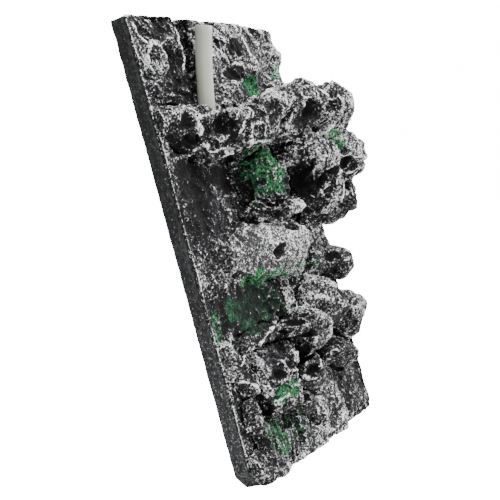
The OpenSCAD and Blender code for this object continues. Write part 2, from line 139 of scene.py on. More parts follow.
# Places that swell out or sink in a little: centre, radii and height, in mm.
SWELLS = [
    ([74, 86, 350], [20, 18, 12], 3.5),
    ([84, 90, 316], [14, 16, 12], -4),
    ([121, 84, 272], [14, 14, 14], -3.5),
    ([124, 54, 250], [14, 14, 12], 3.5),
    ([122, 52, 222], [16, 18, 14], 3.5),
    ([116, 22, 150], [16, 18, 14], 5),
    ([124, 38, 119], [14, 14, 10], -3),
    ([-18, 30, 130], [34, 28, 16], 5),
    ([-124, 8, 355], [24, 24, 13], -6),      # the left wing's top lies low
    ([52, 26, 84], [24, 20, 16], 3),
]
# Sharp crests over the rock, as lines of points [across, depth, height] in mm. Most rows are points picked
# along the photo's crests and cast onto the rock by another program, rounded to 2 mm, some of them moved.
# So this is a table of numbers worked out by another program.
CRESTS = [
    [(-134, 4, 346), (-122, 14, 345), (-110, 18, 346), (-102, 24, 340), (-108, 24, 332), (-108, 22, 316),
     (-102, 24, 306), (-84, 28, 302), (-54, 28, 302)],
    [(-54, 50, 340), (-58, 56, 332), (-62, 54, 324), (-62, 48, 316), (-58, 42, 308), (-50, 36, 300),
     (-38, 26, 294)],
    [(-80, 44, 318), (-76, 48, 324), (-66, 50, 328), (-60, 52, 334)],
    [(10, 80, 346), (8, 80, 334), (-2, 66, 326), (-4, 60, 318), (2, 50, 312), (-10, 44, 304),
     (-36, 46, 302)],
    [(-60, 42, 308), (-48, 44, 302), (-38, 48, 304), (-42, 54, 310), (-46, 60, 320)],
    [(20, 52, 302), (46, 58, 302), (70, 62, 306), (74, 78, 314), (76, 88, 320), (74, 94, 328),
     (68, 92, 338), (60, 82, 334), (42, 86, 344)],
    [(72, 66, 306), (78, 62, 298), (86, 60, 286), (90, 64, 276), (100, 60, 264), (108, 54, 256),
     (98, 58, 244), (94, 56, 234)],
    [(90, 64, 276), (96, 72, 280), (108, 78, 274), (114, 74, 264), (104, 58, 258)],
    [(42, 72, 280), (32, 68, 276), (30, 60, 268), (32, 56, 254), (42, 58, 244), (46, 62, 248),
     (40, 64, 256), (30, 58, 264), (36, 66, 266), (42, 70, 270), (54, 72, 262), (52, 70, 252)],
    [(108, 56, 256), (116, 58, 248), (114, 62, 236)],
    [(-32, 24, 242), (-14, 34, 240), (4, 42, 238), (38, 48, 240), (44, 56, 242)],
    [(84, 34, 190), (104, 38, 184), (126, 34, 180), (112, 40, 170), (90, 36, 168)],
    [(-124, 10, 112), (-112, 12, 116), (-102, 14, 120), (-82, 20, 124), (-74, 22, 130), (-54, 24, 134),
     (-34, 30, 138), (-14, 36, 138), (2, 42, 130), (12, 46, 118)],           # the round boulder's brow
    [(-34, 44, 108), (-36, 38, 98), (-38, 30, 88), (-38, 22, 80)],           # the wedge rock
    [(-78, 28, 102), (-74, 30, 90), (-54, 28, 84), (-38, 22, 80)],
    [(-38, 22, 80), (-32, 26, 70), (-28, 34, 70), (-26, 40, 78), (-22, 38, 88)],
    [(40, 14, 76), (36, 24, 84), (48, 32, 84)],                              # the split pebble
    [(88, 20, 56), (92, 30, 66), (80, 32, 76)],
    [(-100, 20, 66), (-92, 26, 70), (-54, 26, 72), (-38, 22, 76)],           # the lift-off rock's lip
    [(-132, 8, 98), (-124, 12, 90), (-108, 12, 80), (-104, 16, 72)],
    [(-28, 16, 406), (-10, 14, 400), (4, 14, 392), (18, 16, 390)],           # beside the hose
    [(-16, 16, 424), (-8, 16, 420), (-6, 16, 410)],
    [(14, 20, 430), (30, 18, 418), (48, 14, 406), (50, 16, 396)],
    [(44, 16, 434), (70, 12, 428), (84, 12, 412)],
    [(84, 12, 436), (114, 6, 430), (130, 4, 422)],
    [(-92, 14, 430), (-84, 14, 424), (-86, 14, 412), (-84, 14, 398),
     (-88, 12, 384)],                                                        # beside the channel
    [(-56, 7, 164), (-46, 8, 158), (-34, 8, 161), (-24, 8, 152),
     (-14, 8, 154)],                                                         # in the low cave
    [(-66, 8, 150), (-54, 8, 145), (-42, 8, 148), (-32, 8, 141)],
    [(-142, 2, 432), (-136, 2, 422), (-130, 4, 412), (-130, 6, 406)],        # the upper left facing
    [(-118, 10, 398), (-118, 8, 408), (-124, 8, 410), (-130, 6, 406), (-136, 4, 398), (-132, 4, 386)],
    [(-126, 6, 434), (-118, 6, 428), (-112, 8, 420), (-108, 10, 412)],
    [(-144, 0, 439), (-60, 4, 439)],                                         # the top edge
]

# ---- repeatable noise ----


def lattice(cells, seed):
    """A repeatable random number from 0 to 1 for each whole-number cell."""
    n = cells[..., 0] * 73856093 ^ cells[..., 1] * 19349663 ^ cells[..., 2] * 83492791 ^ seed * 2654435761
    n = ((n ^ (n >> 13)) * 1274126177) & 0xFFFFFFFF
    return ((n ^ (n >> 16)) & 0xFFFFFF) / 0xFFFFFF


def soft_noise(points, size, seed):
    """Smooth noise from 0 to 1 with features about size across."""
    scaled = points / size
    base = np.floor(scaled).astype(np.int64)
    t = scaled - base
    t = t * t * t * (t * (t * 6 - 15) + 10)
    total = np.zeros(len(points))
    for corner in itertools.product((0, 1), repeat=3):
        weight = np.prod(np.where(corner, t, 1 - t), axis=1)
        total += weight * lattice(base + np.array(corner), seed)
    return total


def ridged_noise(points, size, seed, octaves=3):
    """Noise from 0 to 1 with sharp crests."""
    total = np.zeros(len(points))
    share = 0.0
    for k in range(octaves):
        crest = 1 - np.abs(2 * soft_noise(points, size / 2 ** k, seed + k) - 1)
        total += crest ** 2 / 2 ** k
        share += 1 / 2 ** k
    return total / share


def dishes(points, size, seed):
    """Shallow dishes side by side with sharp crests between them, from 0 in the middle to about 1."""
    scaled = points / size
    base = np.floor(scaled).astype(np.int64)
    nearest = np.full(len(points), 9.0)
    for offset in itertools.product((-1, 0, 1), repeat=3):
        cell = base + np.array(offset)
        middle = cell + np.stack([lattice(cell, seed + k) for k in range(3)], axis=-1)
        nearest = np.minimum(nearest, np.sum((middle - scaled) ** 2, axis=1))
    return np.minimum(nearest, 1.0)


def spot(place):
    """A point given as across, depth and height in mm, in metres in the part's frame."""
    return np.array([place[0] * MM, FACE_Y - place[1] * MM, place[2] * MM])


SQUARENESS = 2.4                     # 2 makes the zones ellipsoids, more makes them boxier


def zone_weight(points, zones, steep=2.4):
    """How far each point lies inside the zones, from 0 to each zone's strength."""
    weight = np.zeros(len(points))
    for centre, radii, strength in zones:
        reach = (points - spot(centre)) / (np.array(radii) * MM)
        reach = np.sum(np.abs(reach) ** SQUARENESS, axis=1) ** (1 / SQUARENESS)
        weight = np.maximum(weight, strength * np.clip(steep * (1 - reach), 0, 1))
    return weight


def crest_distance(points):
    """How far each point is from the sharp crests. Depth counts less, so that a crest lies on the rock."""
    squash = np.array([1, 0.45, 1])
    nearest = np.full(len(points), 1.0)
    margin = 12 * MM
    low, high = points.min(axis=0) - margin, points.max(axis=0) + margin
    for line in CRESTS:
        places = [spot(p) for p in line]
        for a, b in zip(places, places[1:]):
            if (np.maximum(a, b) < low).any() or (np.minimum(a, b) > high).any():
                continue
            along = (b - a) * squash
            share = np.clip(((points - a) * squash) @ along / (along @ along), 0, 1)
            gap = np.linalg.norm((points - a) * squash - share[:, None] * along, axis=1)
            nearest = np.minimum(nearest, gap)
    return nearest


# ---- stone meshes ----


def body_of(node):
    bodies = frame["record"]["behaviour"]["bodies"]
    return next(body for body, members in bodies.items() if node in members)


def coordinates(mesh):
    points = np.empty(len(mesh.vertices) * 3)
    mesh.vertices.foreach_get("co", points)
    return points.reshape(-1, 3)


def normals(mesh):
    directions = np.empty(len(mesh.vertices) * 3)
    mesh.vertices.foreach_get("normal", directions)
    return directions.reshape(-1, 3)


def set_coordinates(mesh, points):
    mesh.vertices.foreach_set("co", points.ravel())
    mesh.update()


def drift_of(points):
    """A gentle wander that keeps lines and outlines from looking drawn."""
    wander = np.stack([soft_noise(points, 9 * MM, 300 + k) for k in range(3)], axis=1) - 0.5
    return wander * 6 * MM


class Neighbours:
    """Averages values over each vertex's neighbours."""

    def __init__(self, mesh):
        edges = np.empty(len(mesh.edges) * 2, np.int64)
        mesh.edges.foreach_get("vertices", edges)
        edges = edges.reshape(-1, 2)
        self.count = len(mesh.vertices)
        self.here = np.concatenate([edges[:, 0], edges[:, 1]])
        self.there = np.concatenate([edges[:, 1], edges[:, 0]])
        self.total = np.maximum(np.bincount(self.here, minlength=self.count), 1)

    def smooth(self, values, times):
        for _ in range(times):
            sums = [np.bincount(self.here, column[self.there], self.count) for column in values.T]
            values = 0.5 * values + 0.5 * np.stack(sums, axis=1) / self.total[:, None]
        return values


def remeshed_copy(node, name, voxel):
    """A new object with the CAD node's form in even quads."""
    piece = bpy.data.objects.new(name, NODES[node].data.copy())
    bpy.context.scene.collection.objects.link(piece)
    remesh = piece.modifiers.new("even quads", "REMESH")
    remesh.mode = "VOXEL"
    remesh.voxel_size = voxel
    graph = bpy.context.evaluated_depsgraph_get()
    mesh = bpy.data.meshes.new_from_object(piece.evaluated_get(graph))
    piece.modifiers.clear()
    piece.data = mesh
    piece.data.materials.clear()
    return piece


def crag_height(points, calm, stretch):
    """The height of the stone's relief at each point, in metres. calm is 1 where the relief fades out."""
    points = points - (points @ stretch)[:, None] * stretch * 0.55
    drift = np.stack([soft_noise(points, 15 * MM, 200 + k) for k in range(3)], axis=1) - 0.5
    bent = points + drift * 14 * MM
    strong = 0.3 + 1.4 * soft_noise(points, 34 * MM, 71)
    busy = 0.3 + 1.4 * soft_noise(points, 26 * MM, 81)
    broad = (soft_noise(points, 40 * MM, 11) - 0.5) * 9 * MM
    large = (dishes(bent, 27 * MM, 21) - 0.35) * 7.5 * MM * strong
    middle = (dishes(bent, 12 * MM, 25) - 0.35) * 3.4 * MM * busy
    small = (dishes(bent, 5.5 * MM, 29) - 0.35) * 1.5 * MM
    crests = (ridged_noise(bent, 17 * MM, 31, 4) - 0.4) * 3.6 * MM * strong
    grain = (soft_noise(points, 2.7 * MM, 51) - 0.5) * 1.5 * MM
    return broad + (large + middle + crests) * (1 - 0.8 * calm) + (small + grain) * (1 - 0.5 * calm)


def inside_box(points, low, high, margin):
    """Which points lie over the box as seen from the front."""
    across = (points[:, 0] > low.x - margin) & (points[:, 0] < high.x + margin)
    upright = (points[:, 2] > low.z - margin) & (points[:, 2] < high.z + margin)
    return across & upright


def store(mesh, name, values):
    attribute = mesh.attributes.new(name, "FLOAT", "POINT")
    attribute.data.foreach_set("value", values.astype(np.float32))


def family(node):
    """Most of the cast runs on from stone to stone; a groove with painted shade in it sets the single
    boulders off.
    """
    single = "pebble" in node or "wedge" in node or "column" in node or "boulder" in node
    return node if single and node != "slide_boulder" else "run on"


def surface_of(node):
    """The CAD node's surface, to measure distances to."""
    mesh = NODES[node].data
    return BVHTree.FromPolygons([v.co for v in mesh.vertices], [p.vertices for p in mesh.polygons])


def gap_to_others(node, points):
    """How far each point is from the stones of other families, up to GROOVE."""
    gap = np.full(len(points), GROOVE)
    for other in ROCKS + FACINGS:
        if family(other) == family(node):
            continue
        low, high = (np.array(corner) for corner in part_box(other))
        near = np.all((points > low - GROOVE) & (points < high + GROOVE), axis=1)
        if not near.any():
            continue
        for i in np.flatnonzero(near):
            distance = SURFACES[other].find_nearest(points[i], gap[i])[3]
            if distance is not None:
                gap[i] = distance
    return gap


def lapped(points):
    """The points spread a little across, so that this facing laps over the next one at their joint."""
    low, high = points[:, 0].min(), points[:, 0].max()
    across = (points[:, 0] - low) / (high - low)
    spread = points.copy()
    spread[:, 0] = np.clip(points[:, 0] + (2 * across - 1) * LAP, BOARD_LOW.x, BOARD_HIGH.x)
    return spread


LAP = 1.3 * MM                       # how far those facings lap over
LAPPED = ("left_wall_facing", "cave_back_facing")
GROOVE = 4 * MM                      # how far the groove reaches from the next stone
GROOVE_DEPTH = 1.2 * MM
CREST_WIDTH = 1.9 * MM
CREST_HEIGHT = 2.6 * MM
CREST_LINE = 1.3 * MM                # the width of the white line on a crest
RIM_HEIGHT = 0.8 * MM                # of the rim round a pocket
SLIDE_SMOOTHING = 20
SMOOTHING = 5
SURFACES = {node: surface_of(node) for node in ROCKS + FACINGS}
COVER_LOW, COVER_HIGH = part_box("pump_cover_rock")


def pocket_rim(pocket):
    """1 just inside a pocket's edge, 0 in the middle and outside, from how far inside a point lies."""
    return np.minimum(pocket * 5, 1) - np.minimum(pocket * 1.6, 1)


def placed_forms(wander):
    """The height that the pockets and swells add at each point, in metres."""
    height = np.zeros(len(wander))
    for centre, radii, depth in POCKETS:
        height -= zone_weight(wander, [(centre, radii, 1.0)], 1.4) * depth * MM
    for centre, radii, rise in SWELLS:
        height += zone_weight(wander, [(centre, radii, 1.0)], 1.3) * rise * MM
    return height


def held_in(node, height, points, outward):
    """The height faded out towards the slab's edges and back, and kept clear of the lift-off rock."""
    height = height * np.clip(0.12 + (points[:, 0] - BOARD_LOW.x) / (7 * MM), 0, 1)
    height *= np.clip(0.5 + (BOARD_HIGH.x - points[:, 0]) / (8 * MM), 0, 1)
    behind = np.where(outward[:, 1] < -0.3, 0.4, 0.12)
    height *= np.clip(behind + (FACE_Y + 2 * MM - points[:, 1]) / (7 * MM), 0, 1)
    if node == "pump_cover_rock":
        sides = np.clip(-outward[:, 1] * 2.2 - 0.3, 0, 1)
        return np.where(height > 0, height * sides, height)
    by_cover = inside_box(points, COVER_LOW, COVER_HIGH, 3 * MM)
    height[by_cover] = np.minimum(height[by_cover], 0)
    return height


def proudness(near, shaped, final, crag, voxel):
    """How far each point stands out from what is round it, at three scales: the brush hits that first."""
    finer = (1.25 * MM / voxel) ** 2
    fine = np.einsum("ij,ij->i", shaped - near.smooth(shaped, max(1, round(5 * finer))), final)
    broad = np.einsum("ij,ij->i", shaped - near.smooth(shaped, max(4, round(32 * finer))), final)
    form = np.tanh((crag + 0.4 * MM) / (2.2 * MM))
    proud = np.tanh(fine / (0.5 * MM)) + np.tanh(broad / (1.6 * MM)) + 0.7 * form
    return proud * np.clip((shaped[:, 0] - BOARD_LOW.x) / (3 * MM), 0.3, 1)


def make_stone(node, body, voxel, amount=1.0, stretch=(0, 0, 0)):
    """A craggy stone in place of the CAD node, with what the paint needs stored on its vertices."""
    piece = remeshed_copy(node, node + ".stone", voxel)
    mesh = piece.data
    near = Neighbours(mesh)
    points = near.smooth(coordinates(mesh), SLIDE_SMOOTHING if node == "slide_boulder" else SMOOTHING)
    if node in LAPPED:
        points = lapped(points)
    set_coordinates(mesh, points)
    outward = near.smooth(normals(mesh), 3)
    outward /= np.maximum(np.linalg.norm(outward, axis=1), 1e-9)[:, None]

    drift = drift_of(points)
    wander = points + drift
    # Painted shade: how deep each point lies in the zones painted darker where shade falls.
    painted_shade = zone_weight(points + 2 * drift, PAINTED_SHADE_ZONES, 1.6)
    pale = zone_weight(wander, PALE, 1.6)
    pocket = zone_weight(wander, [(centre, radii, 0.85) for centre, radii, depth in POCKETS])
    rim = pocket_rim(pocket)
    off_crest = crest_distance(wander)
    # The groove by stones of other families is sunk in, and it is also painted with shade.
    groove = 1 - gap_to_others(node, points) / GROOVE
    groove *= np.clip(3 * soft_noise(points, 22 * MM, 91) - 0.7, 0, 1)

    calm = np.maximum(0.25 * painted_shade, 0.55 * pale)
    crag = crag_height(points, calm, np.array(stretch, float)) * amount
    height = crag - 0.3 * MM + np.exp(-off_crest / CREST_WIDTH) * CREST_HEIGHT - groove * GROOVE_DEPTH
    height += placed_forms(wander) + rim * RIM_HEIGHT
    shaped = points + outward * held_in(node, height, points, outward)[:, None]
    shaped[:, 2] = np.clip(shaped[:, 2], FLOOR_GAP, ragged_top(shaped))
    shaped[:, 1] = np.minimum(shaped[:, 1], BOARD_HIGH.y)
    set_coordinates(mesh, shaped)

    final = normals(mesh)
    edge = 0.6 * np.exp(-((shaped[:, 0] - BOARD_LOW.x) / MM) ** 2) * np.clip(-3 * final[:, 1], 0, 1)
    store(mesh, "relief", proudness(near, shaped, final, crag, voxel))
    store(mesh, "crest", np.maximum(np.maximum(np.exp(-off_crest / CREST_LINE), edge), 0.6 * rim))
    store(mesh, "moss", zone_weight(points + 1.5 * drift, MOSS))
    # The painted shade: the shaded zones, the pockets and the grooves by other stones, all painted darker.
    store(mesh, "painted_shade", np.maximum(painted_shade, np.maximum(pocket, 0.8 * groove)))
    store(mesh, "pale", pale)
    mesh.shade_smooth()
    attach(piece, body)
    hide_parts(node)
    return piece


def ragged_top(points):
    """The height of the slab's uneven top edge at each point, a little lower further out on the relief."""
    out = np.maximum(FACE_Y - points[:, 1], 0)
    return BOARD_HIGH.z - 0.25 * out - (0.2 + 2.2 * soft_noise(points * [1, 0.2, 0], 5 * MM, 95) ** 2) * MM


def make_board():
    """The board with a slightly uneven skin and worn, chipped edges."""
    piece = remeshed_copy("back_board", "back_board.cast", (1.75) * MM)
    mesh = piece.data
    near = Neighbours(mesh)
    points = near.smooth(coordinates(mesh), 2)
    set_coordinates(mesh, points)
    outward = near.smooth(normals(mesh), 2)
    proud = np.einsum("ij,ij->i", points - near.smooth(points, 12), normals(mesh))
    worn = np.clip(proud / (0.7 * MM), 0, 1)
    worn *= np.clip(0.2 + (BOARD_HIGH.y - points[:, 1]) / (BOARD_HIGH.y - BOARD_LOW.y), 0, 1)
    chips = np.clip(dishes(points, 13 * MM, 61) - 0.3, 0, 1) * 1.8 * MM
    chips += soft_noise(points, 3 * MM, 65) * 0.6 * MM
    uneven = (soft_noise(points, 12 * MM, 63) - 0.4) * 0.7 * MM
    uneven += (soft_noise(points, 4 * MM, 67) - 0.5) * 0.4 * MM
    shaped = points + outward * (uneven - worn * chips)[:, None]
    shaped[:, 2] = np.clip(shaped[:, 2], 0, ragged_top(shaped))
    shaped[:, 1] = np.minimum(shaped[:, 1], BOARD_HIGH.y)
    set_coordinates(mesh, shaped)
    store(mesh, "relief", 2 * worn)
    mesh.shade_smooth()
    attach(piece, body_of("back_board"))
    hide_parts("back_board")
    return piece


# ---- materials ----


class Shader:
    """A short way to build a node material."""

    def __init__(self, name):
        self.material = bpy.data.materials.new(name)
        self.material.use_nodes = True
        self.tree = self.material.node_tree
        self.surface = self.tree.nodes["Principled BSDF"]
        self.place = self.node("ShaderNodeTexCoord").outputs["Object"]

    def node(self, kind, **settings):
        made = self.tree.nodes.new(kind)
        for key, value in settings.items():
            setattr(made, key, value)
        return made

    def link(self, source, target):
        self.tree.links.new(source, target)

    def feed(self, socket, value):
        """Links a socket, or sets it to a plain number or colour."""
        if isinstance(value, bpy.types.NodeSocket):
            self.link(value, socket)
        elif hasattr(value, "__len__") and len(value) == 3 and len(socket.default_value) == 4:
            socket.default_value = (*value, 1)
        else:
            socket.default_value = value

    def noise(self, size, detail=3.0, rough=0.5):
        made = self.node("ShaderNodeTexNoise")
        self.link(self.place, made.inputs["Vector"])
        made.inputs["Scale"].default_value = 1 / size
        made.inputs["Detail"].default_value = detail
        made.inputs["Roughness"].default_value = rough
        return made.outputs["Fac"]

    def warped(self, size, amount):
        """The place shifted by noise, so that what is drawn there has no regular outline."""
        shift = self.node("ShaderNodeTexNoise")
        self.link(self.place, shift.inputs["Vector"])
        shift.inputs["Scale"].default_value = 1 / size
        shift.inputs["Detail"].default_value = 0
        centred = self.node("ShaderNodeVectorMath", operation="SUBTRACT")
        self.link(shift.outputs["Color"], centred.inputs[0])
        centred.inputs[1].default_value = (0.5, 0.5, 0.5)
        scaled = self.node("ShaderNodeVectorMath", operation="SCALE")
        self.link(centred.outputs[0], scaled.inputs[0])
        scaled.inputs["Scale"].default_value = amount
        moved = self.node("ShaderNodeVectorMath", operation="ADD")
        self.link(self.place, moved.inputs[0])
        self.link(scaled.outputs[0], moved.inputs[1])
        return moved.outputs[0]

    def rims(self, where, size, width):
        """1 on the rims between small pits, 0 within them."""
        made = self.node("ShaderNodeTexVoronoi", feature="DISTANCE_TO_EDGE")
        self.link(where, made.inputs["Vector"])
        made.inputs["Scale"].default_value = 1 / size
        return self.ramp(made.outputs["Distance"], 0.0, width, 1.0, 0.0)

    def total(self, parts, start=0.0):
        """The sum of the parts, each given as a value and its weight."""
        added = start
        for value, weight in parts:
            added = self.math("ADD", self.math("MULTIPLY", value, weight), added)
        return added

    def attribute(self, name):
        return self.node("ShaderNodeAttribute", attribute_name=name).outputs["Fac"]

    def math(self, operation, first, second=0.0, clamp=False):
        made = self.node("ShaderNodeMath", operation=operation, use_clamp=clamp)
        self.feed(made.inputs[0], first)
        self.feed(made.inputs[1], second)
        return made.outputs[0]

    def ramp(self, value, low, high, start=0.0, end=1.0):
        """A smooth step from start to end as the value goes from low to high."""
        made = self.node("ShaderNodeMapRange", interpolation_type="SMOOTHSTEP")
        self.feed(made.inputs["Value"], value)
        made.inputs["From Min"].default_value = low
        made.inputs["From Max"].default_value = high
        made.inputs["To Min"].default_value = start
        made.inputs["To Max"].default_value = end
        return made.outputs["Result"]

    def mix(self, share, first, second):
        made = self.node("ShaderNodeMix", data_type="RGBA")
        self.feed(made.inputs["Factor"], share)
        self.feed(made.inputs[6], first)
        self.feed(made.inputs[7], second)
        return made.outputs[2]

    def bump(self, height, strength, distance):
        made = self.node("ShaderNodeBump")
        made.inputs["Strength"].default_value = strength
        made.inputs["Distance"].default_value = distance
        self.link(height, made.inputs["Height"])
        self.link(made.outputs["Normal"], self.surface.inputs["Normal"])

    def set(self, **values):
        for key, value in values.items():
            self.feed(self.surface.inputs[key.replace("_", " ")], value)


def stone_material(name, flecked=0.0):
    """Black resin with grey and white paint dry-brushed on what stands proud, moss paint in places, and
    painted shade in the hollows.
    """
    s = Shader(name)
    relief = s.attribute("relief")
    crest = s.attribute("crest")
    painted_shade = s.attribute("painted_shade")
    pale = s.attribute("pale")
    moss = s.attribute("moss")
    where = s.warped(5 * MM, 2.5 * MM)
    speck = s.noise(1.9 * MM, 2, 0.75)
    fine_rims = s.rims(where, 3.2 * MM, 0.22)
    wide_rims = s.rims(where, 7 * MM, 0.09)
    calm = s.ramp(pale, 0, 1, 1.0, 0.35)
    dab = s.math("MULTIPLY", s.math("SUBTRACT", s.noise(4.2 * MM, 3, 0.6), 0.5), calm)
    patch = s.math("SUBTRACT", s.noise(24 * MM, 3), 0.5)
    broken = s.ramp(s.noise(2.6 * MM, 3, 0.6), 0.34, 0.54)
    line = s.math("MULTIPLY", s.ramp(crest, 0.22, 0.65), broken)
    # Painted shade, broken up by noise, holds the brush back in the shaded zones.
    uneven = s.math("MULTIPLY", painted_shade, s.ramp(s.noise(11 * MM, 3, 0.6), 0.3, 0.6, 0.45, 1.1))
    reach = s.total([(speck, 1.5), (relief, 0.145), (line, 0.5), (fine_rims, 0.26),
                     (s.math("MULTIPLY", wide_rims, calm), 0.16), (dab, 0.2), (patch, 0.36), (uneven, -0.5),
                     (pale, 0.16)], flecked)
    grey = s.ramp(reach, 0.862, 1.202)
    white = s.ramp(reach, 1.162, 1.322)
    colour = s.mix(grey, (0.004, 0.004, 0.0045), (0.14, 0.14, 0.145))
    # The pale haze is kept out of the painted shade.
    haze = s.math("MULTIPLY", s.math("SUBTRACT", pale, painted_shade, clamp=True), 0.16)
    colour = s.mix(haze, colour, (0.2, 0.205, 0.2))
    colour = s.mix(white, colour, (0.92, 0.93, 0.92))
    green = s.mix(s.ramp(s.noise(2 * MM, 3), 0.40, 0.64), (0.003, 0.022, 0.008), (0.055, 0.29, 0.11))
    # Moss in the painted shade is painted darker.
    green = s.mix(s.math("MULTIPLY", painted_shade, 1.3, clamp=True), green, (0.006, 0.035, 0.015))
    spread = s.total([(s.noise(4.5 * MM, 6, 0.78), 0.9), (s.noise(13 * MM, 3), 0.6), (moss, 0.2)])
    clump = s.math("MULTIPLY", moss, s.ramp(spread, 0.86, 1.02))
    colour = s.mix(s.math("MULTIPLY", clump, s.ramp(white, 0, 1, 0.9, 0.45)), colour, green)
    s.set(Base_Color=colour, Roughness=s.ramp(white, 0, 1, 0.72, 0.88))
    s.surface.inputs["Specular IOR Level"].default_value = 0.1
    s.bump(s.total([(s.noise(1.7 * MM, 4, 0.7), 1.0), (fine_rims, 0.35), (wide_rims, 0.5)]), 0.9, 0.9 * MM)
    return s.material


def board_material():
    """Smooth charcoal resin, scuffed along its edges and towards its foot."""
    s = Shader("board resin")
    stretch = s.node("ShaderNodeMapping")
    stretch.inputs["Scale"].default_value = (1, 1, 0.55)
    s.link(s.place, stretch.inputs["Vector"])
    streak = s.node("ShaderNodeTexNoise")
    s.link(stretch.outputs["Vector"], streak.inputs["Vector"])
    streak.inputs["Scale"].default_value = 420
    streak.inputs["Detail"].default_value = 5
    height = s.node("ShaderNodeSeparateXYZ")
    s.link(s.place, height.inputs[0])
    foot = s.ramp(height.outputs["Z"], 0.02, 0.34, 0.13, 0.0)
    relief = s.attribute("relief")
    reach = s.math("ADD", streak.outputs["Fac"], foot)
    reach = s.math("ADD", reach, s.math("MULTIPLY", s.math("SUBTRACT", s.noise(30 * MM, 3), 0.5), 0.3))
    reach = s.math("ADD", reach, s.math("MULTIPLY", relief, 0.06))
    speck = s.math("ADD", s.noise(1.7 * MM, 3, 0.7), s.math("MULTIPLY", foot, 0.5))
    colour = s.mix(s.ramp(reach, 0.44, 0.9), (0.008, 0.0085, 0.009), (0.055, 0.056, 0.058))
    colour = s.mix(s.ramp(speck, 0.62, 0.74), colour, (0.34, 0.34, 0.34))
    s.set(Base_Color=colour, Roughness=s.ramp(streak.outputs["Fac"], 0.3, 0.7, 0.6, 0.75))
    s.surface.inputs["Specular IOR Level"].default_value = 0.2
    s.bump(s.noise(1.6 * MM, 4, 0.6), 0.5, 0.3 * MM)
    return s.material


def silicone_material():
    """Milky translucent silicone."""
    s = Shader("silicone")
    haze = s.noise(14 * MM, 2)
    s.set(Base_Color=s.mix(haze, (0.40, 0.41, 0.355), (0.50, 0.51, 0.45)))
    s.set(Roughness=s.ramp(s.noise(4 * MM), 0.3, 0.7, 0.3, 0.42))
    s.surface.inputs["Subsurface Weight"].default_value = 0.35
    s.surface.inputs["Subsurface Radius"].default_value = (1, 0.95, 0.85)
    s.surface.inputs["Subsurface Scale"].default_value = 3 * MM
    s.surface.inputs["Transmission Weight"].default_value = 0.18
    s.surface.inputs["IOR"].default_value = 1.41
    s.bump(s.noise(9 * MM), 0.08, 0.3 * MM)
    return s.material


def plastic_material(name, colour, worn, rough=0.42, size=0.7 * MM):
    """Moulded plastic or rubber with a fine grain and slight wear."""
    s = Shader(name)
    wear = s.ramp(s.noise(12 * MM, 5, 0.6), 0.45, 0.75)
    s.set(Base_Color=s.mix(wear, colour, worn), Roughness=s.ramp(wear, 0, 1, rough, rough + 0.15))
    s.bump(s.noise(size, 2), 0.25, 0.08 * MM)
    return s.material


def clear_vinyl_material():
    s = Shader("clear vinyl")
    s.set(Base_Color=s.mix(s.noise(6 * MM), (0.78, 0.82, 0.82), (0.9, 0.92, 0.91)), Roughness=0.15)
    s.surface.inputs["Transmission Weight"].default_value = 0.7
    s.surface.inputs["IOR"].default_value = 1.5
    return s.material


# ---- the pieces ----


def paint(piece, material):
    piece.data.materials.clear()
    piece.data.materials.append(material)


voxel = 1.05 * MM
stone = stone_material("dry-brushed stone")
facing_stone = stone_material("dry-brushed facing")
slide_stone = stone_material("pale brushed stone", flecked=0.01)


def rock_amount(node):
    """Small boulders get less relief, so that they keep their outline."""
    if node.startswith("moss_"):
        return 1.4
    low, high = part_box(node)
    middle_size = sorted(high - low)[1]
    return min(max(middle_size / (70 * MM), 0.6), 1.0)


FACING_AMOUNT = {"upper_left_facing": 0.9, "upper_right_facing": 1.1, "left_wall_facing": 0.65,
                 "cave_back_facing": 1.3}
for node in ROCKS:
    if node == "slide_boulder":
        paint(make_stone(node, body_of(node), voxel, 0.8), slide_stone)
    elif node == "flowstone_curtain":
        paint(make_stone(node, body_of(node), voxel, 0.4, (0, 0, 1)), stone)
    else:
        paint(make_stone(node, body_of(node), voxel, rock_amount(node)), stone)
for node in FACINGS:
    amount = FACING_AMOUNT.get(node, 0.75)
    stretch = (0.86, 0, -0.5) if node.startswith("upper") else (0, 0, 0)
    paint(make_stone(node, body_of(node), voxel, amount, stretch), facing_stone)

paint(make_board(), board_material())
black_plastic = plastic_material("pump plastic", (0.012, 0.012, 0.014), (0.035, 0.036, 0.038))
for node in ("pump_housing", "pump_front_cover", "cover_pegs"):
    paint(NODES[node], black_plastic)
paint(NODES["impeller"], plastic_material("rotor plastic", (0.06, 0.06, 0.07), (0.12, 0.12, 0.13), 0.35))
paint(NODES["impeller_shaft"], plastic_material("ceramic", (0.78, 0.78, 0.74), (0.86, 0.86, 0.83), 0.18))
rubber = plastic_material("bush rubber", (0.02, 0.02, 0.02), (0.05, 0.05, 0.05), 0.7)
for node in ("rear_bush", "front_bush", "cable_gland"):
    paint(NODES[node], rubber)
paint(NODES["flow_dial"], plastic_material("dial plastic", (0.07, 0.08, 0.10), (0.14, 0.15, 0.17), 0.3))
paint(NODES["suction_cups"], clear_vinyl_material())


# ---- the hose ----

HOSE_X = -0.072
HOSE_OUTER = 0.008
HOSE_INNER = 0.006


def turned(points, slope, radius, steps):
    """Adds an arc that ends at this slope, in degrees from upright."""
    depth, height, start = points[-1]
    reach = math.copysign(radius, slope - start)
    a = math.radians(start)
    for i in range(1, steps + 1):
        angle = start + (slope - start) * i / steps
        b = math.radians(angle)
        out = depth + reach * (math.cos(a) - math.cos(b))
        up = height + reach * (math.sin(b) - math.sin(a))
        points.append((out, up, angle))


def hose_line():
    """The hose's route as depth, height and slope: up the channel, into the ledge, then leaning out."""
    points = [(-0.004, 0.1015 + 0.01805 * i, 0.0) for i in range(11)]
    turned(points, 24, 0.080, 12)
    depth, height, slope = points[-1]
    points.append((depth + 0.016 * math.tan(math.radians(slope)), height + 0.016, slope))
    turned(points, 11, 0.080, 8)
    turned(points, 19, 0.544, 14)
    return points


